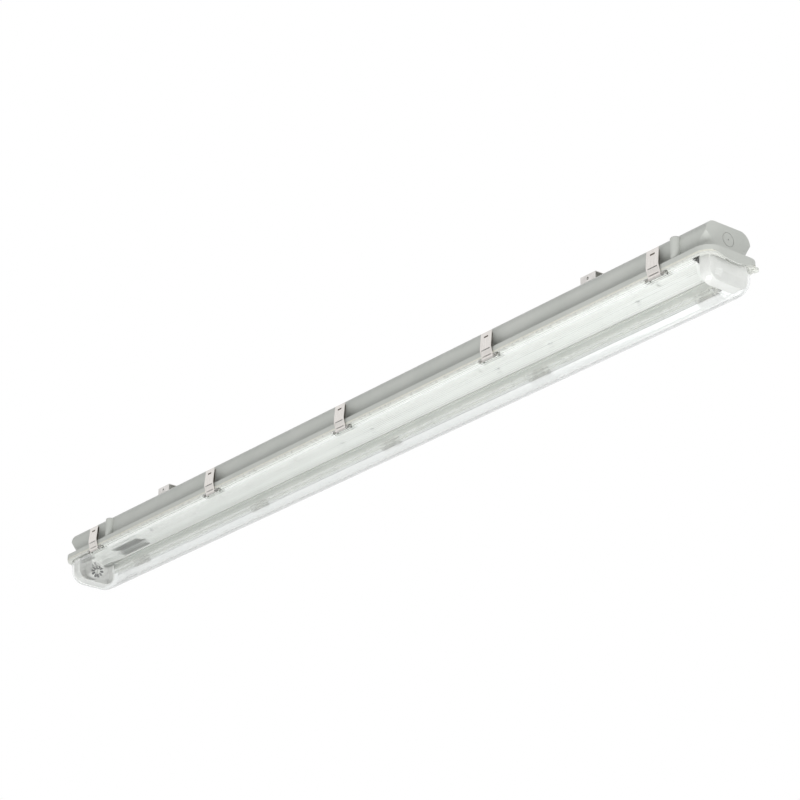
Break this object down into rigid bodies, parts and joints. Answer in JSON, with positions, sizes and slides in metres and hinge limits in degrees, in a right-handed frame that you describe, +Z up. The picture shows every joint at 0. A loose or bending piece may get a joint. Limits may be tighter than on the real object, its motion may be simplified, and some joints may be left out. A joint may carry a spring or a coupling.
{
  "type": "vapor tight tube light",
  "caption": "Long narrow vapor-tight ceiling light: grey trough housing, clear ribbed cover held by spring clips, white gear tray with lampholders, and strap brackets for a ceiling.",
  "frame": {"origin": "centre of the ceiling plane, midway between the screw holes of the two brackets", "axes": "+X along the lamp towards the picture's right end, +Y across to the far side, +Z up to the ceiling"},
  "size_m": [1.57, 0.111, 0.111],
  "materials": {
    "housing_grey": "light grey moulded polycarbonate, satin",
    "seal_cream": "cream foamed sealing strip, matte",
    "cover_clear": "clear polycarbonate, ribbed inside",
    "spring_steel": "bright rolled stainless strip",
    "bracket_steel": "folded stainless strip, satin",
    "tray_white": "white stove-enamelled sheet, satin",
    "fastener_steel": "zinc-plated",
    "gear_case": "off-white moulded case",
    "holder_white": "white moulding",
    "rotor_grey": "grey moulding",
    "terminal_white": "white moulding",
    "contact_brass": "plain brass",
    "lead_supply": "plastic-covered lead",
    "lead_lamp": "plastic-covered lead"
  },
  "bodies": {
    "housing": {"housing_shell": "housing_grey", "gasket": "seal_cream", "gear_tray": "tray_white", "tray_wing_near": "tray_white", "tray_wing_far": "tray_white", "tray_screws": "fastener_steel", "control_gear": "gear_case", "gear_screws": "fastener_steel", "gear_nuts": "fastener_steel", "earth_screw": "fastener_steel", "earth_nut": "fastener_steel", "terminal_block": "terminal_white", "terminal_screws": "contact_brass", "supply_leads": "lead_supply", "lamp_leads_left": "lead_lamp", "lamp_leads_right": "lead_lamp", "lampholder_left": "holder_white", "lampholder_right": "holder_white", "contacts_left": "contact_brass", "contacts_right": "contact_brass", "bracket_left": "bracket_steel", "bracket_right": "bracket_steel"},
    "cover": {"cover": "cover_clear", "hinge_pins": "spring_steel"},
    "clip_near_1": {"clip_lever_near_1": "spring_steel", "clip_spring_near_1": "spring_steel"},
    "clip_near_2": {"clip_lever_near_2": "spring_steel", "clip_spring_near_2": "spring_steel"},
    "clip_near_3": {"clip_lever_near_3": "spring_steel", "clip_spring_near_3": "spring_steel"},
    "clip_near_4": {"clip_lever_near_4": "spring_steel", "clip_spring_near_4": "spring_steel"},
    "clip_near_5": {"clip_lever_near_5": "spring_steel", "clip_spring_near_5": "spring_steel"},
    "clip_far_1": {"clip_lever_far_1": "spring_steel", "clip_spring_far_1": "spring_steel"},
    "clip_far_2": {"clip_lever_far_2": "spring_steel", "clip_spring_far_2": "spring_steel"},
    "clip_far_3": {"clip_lever_far_3": "spring_steel", "clip_spring_far_3": "spring_steel"},
    "clip_far_4": {"clip_lever_far_4": "spring_steel", "clip_spring_far_4": "spring_steel"},
    "clip_far_5": {"clip_lever_far_5": "spring_steel", "clip_spring_far_5": "spring_steel"},
    "rotor_left": {"rotor_left": "rotor_grey"},
    "rotor_right": {"rotor_right": "rotor_grey"}
  },
  "joints": [
    {"name": "cover_drop", "type": "slide", "parent": "housing", "child": "cover", "axis": [0, 0, -1], "range_m": [0, 0.04]},
    {"name": "clip_near_1_open", "type": "hinge", "parent": "cover", "child": "clip_near_1", "pos_m": [-0.684, -0.04987, -0.07348], "axis": [1, 0, 0], "range_deg": [0, 165]},
    {"name": "clip_near_2_open", "type": "hinge", "parent": "cover", "child": "clip_near_2", "pos_m": [-0.342, -0.04987, -0.07348], "axis": [1, 0, 0], "range_deg": [0, 165]},
    {"name": "clip_near_3_open", "type": "hinge", "parent": "cover", "child": "clip_near_3", "pos_m": [0, -0.04987, -0.07348], "axis": [1, 0, 0], "range_deg": [0, 165]},
    {"name": "clip_near_4_open", "type": "hinge", "parent": "cover", "child": "clip_near_4", "pos_m": [0.342, -0.04987, -0.07348], "axis": [1, 0, 0], "range_deg": [0, 165]},
    {"name": "clip_near_5_open", "type": "hinge", "parent": "cover", "child": "clip_near_5", "pos_m": [0.684, -0.04987, -0.07348], "axis": [1, 0, 0], "range_deg": [0, 165]},
    {"name": "clip_far_1_open", "type": "hinge", "parent": "cover", "child": "clip_far_1", "pos_m": [-0.684, 0.04987, -0.07348], "axis": [-1, 0, 0], "range_deg": [0, 165]},
    {"name": "clip_far_2_open", "type": "hinge", "parent": "cover", "child": "clip_far_2", "pos_m": [-0.342, 0.04987, -0.07348], "axis": [-1, 0, 0], "range_deg": [0, 165]},
    {"name": "clip_far_3_open", "type": "hinge", "parent": "cover", "child": "clip_far_3", "pos_m": [0, 0.04987, -0.07348], "axis": [-1, 0, 0], "range_deg": [0, 165]},
    {"name": "clip_far_4_open", "type": "hinge", "parent": "cover", "child": "clip_far_4", "pos_m": [0.342, 0.04987, -0.07348], "axis": [-1, 0, 0], "range_deg": [0, 165]},
    {"name": "clip_far_5_open", "type": "hinge", "parent": "cover", "child": "clip_far_5", "pos_m": [0.684, 0.04987, -0.07348], "axis": [-1, 0, 0], "range_deg": [0, 165]},
    {"name": "rotor_left_turn", "type": "hinge", "parent": "housing", "child": "rotor_left", "pos_m": [-0.754, 0, -0.0825], "axis": [1, 0, 0], "range_deg": [0, 90]},
    {"name": "rotor_right_turn", "type": "hinge", "parent": "housing", "child": "rotor_right", "pos_m": [0.754, 0, -0.0825], "axis": [1, 0, 0], "range_deg": [0, 90]}
  ],
  "couplings": [
    {"joint": "clip_near_1_open", "follows": "cover_drop", "rad_per_m": 71.994},
    {"joint": "clip_near_2_open", "follows": "cover_drop", "rad_per_m": 71.994},
    {"joint": "clip_near_3_open", "follows": "cover_drop", "rad_per_m": 71.994},
    {"joint": "clip_near_4_open", "follows": "cover_drop", "rad_per_m": 71.994},
    {"joint": "clip_near_5_open", "follows": "cover_drop", "rad_per_m": 71.994},
    {"joint": "clip_far_1_open", "follows": "cover_drop", "rad_per_m": 71.994},
    {"joint": "clip_far_2_open", "follows": "cover_drop", "rad_per_m": 71.994},
    {"joint": "clip_far_3_open", "follows": "cover_drop", "rad_per_m": 71.994},
    {"joint": "clip_far_4_open", "follows": "cover_drop", "rad_per_m": 71.994},
    {"joint": "clip_far_5_open", "follows": "cover_drop", "rad_per_m": 71.994}
  ]
}
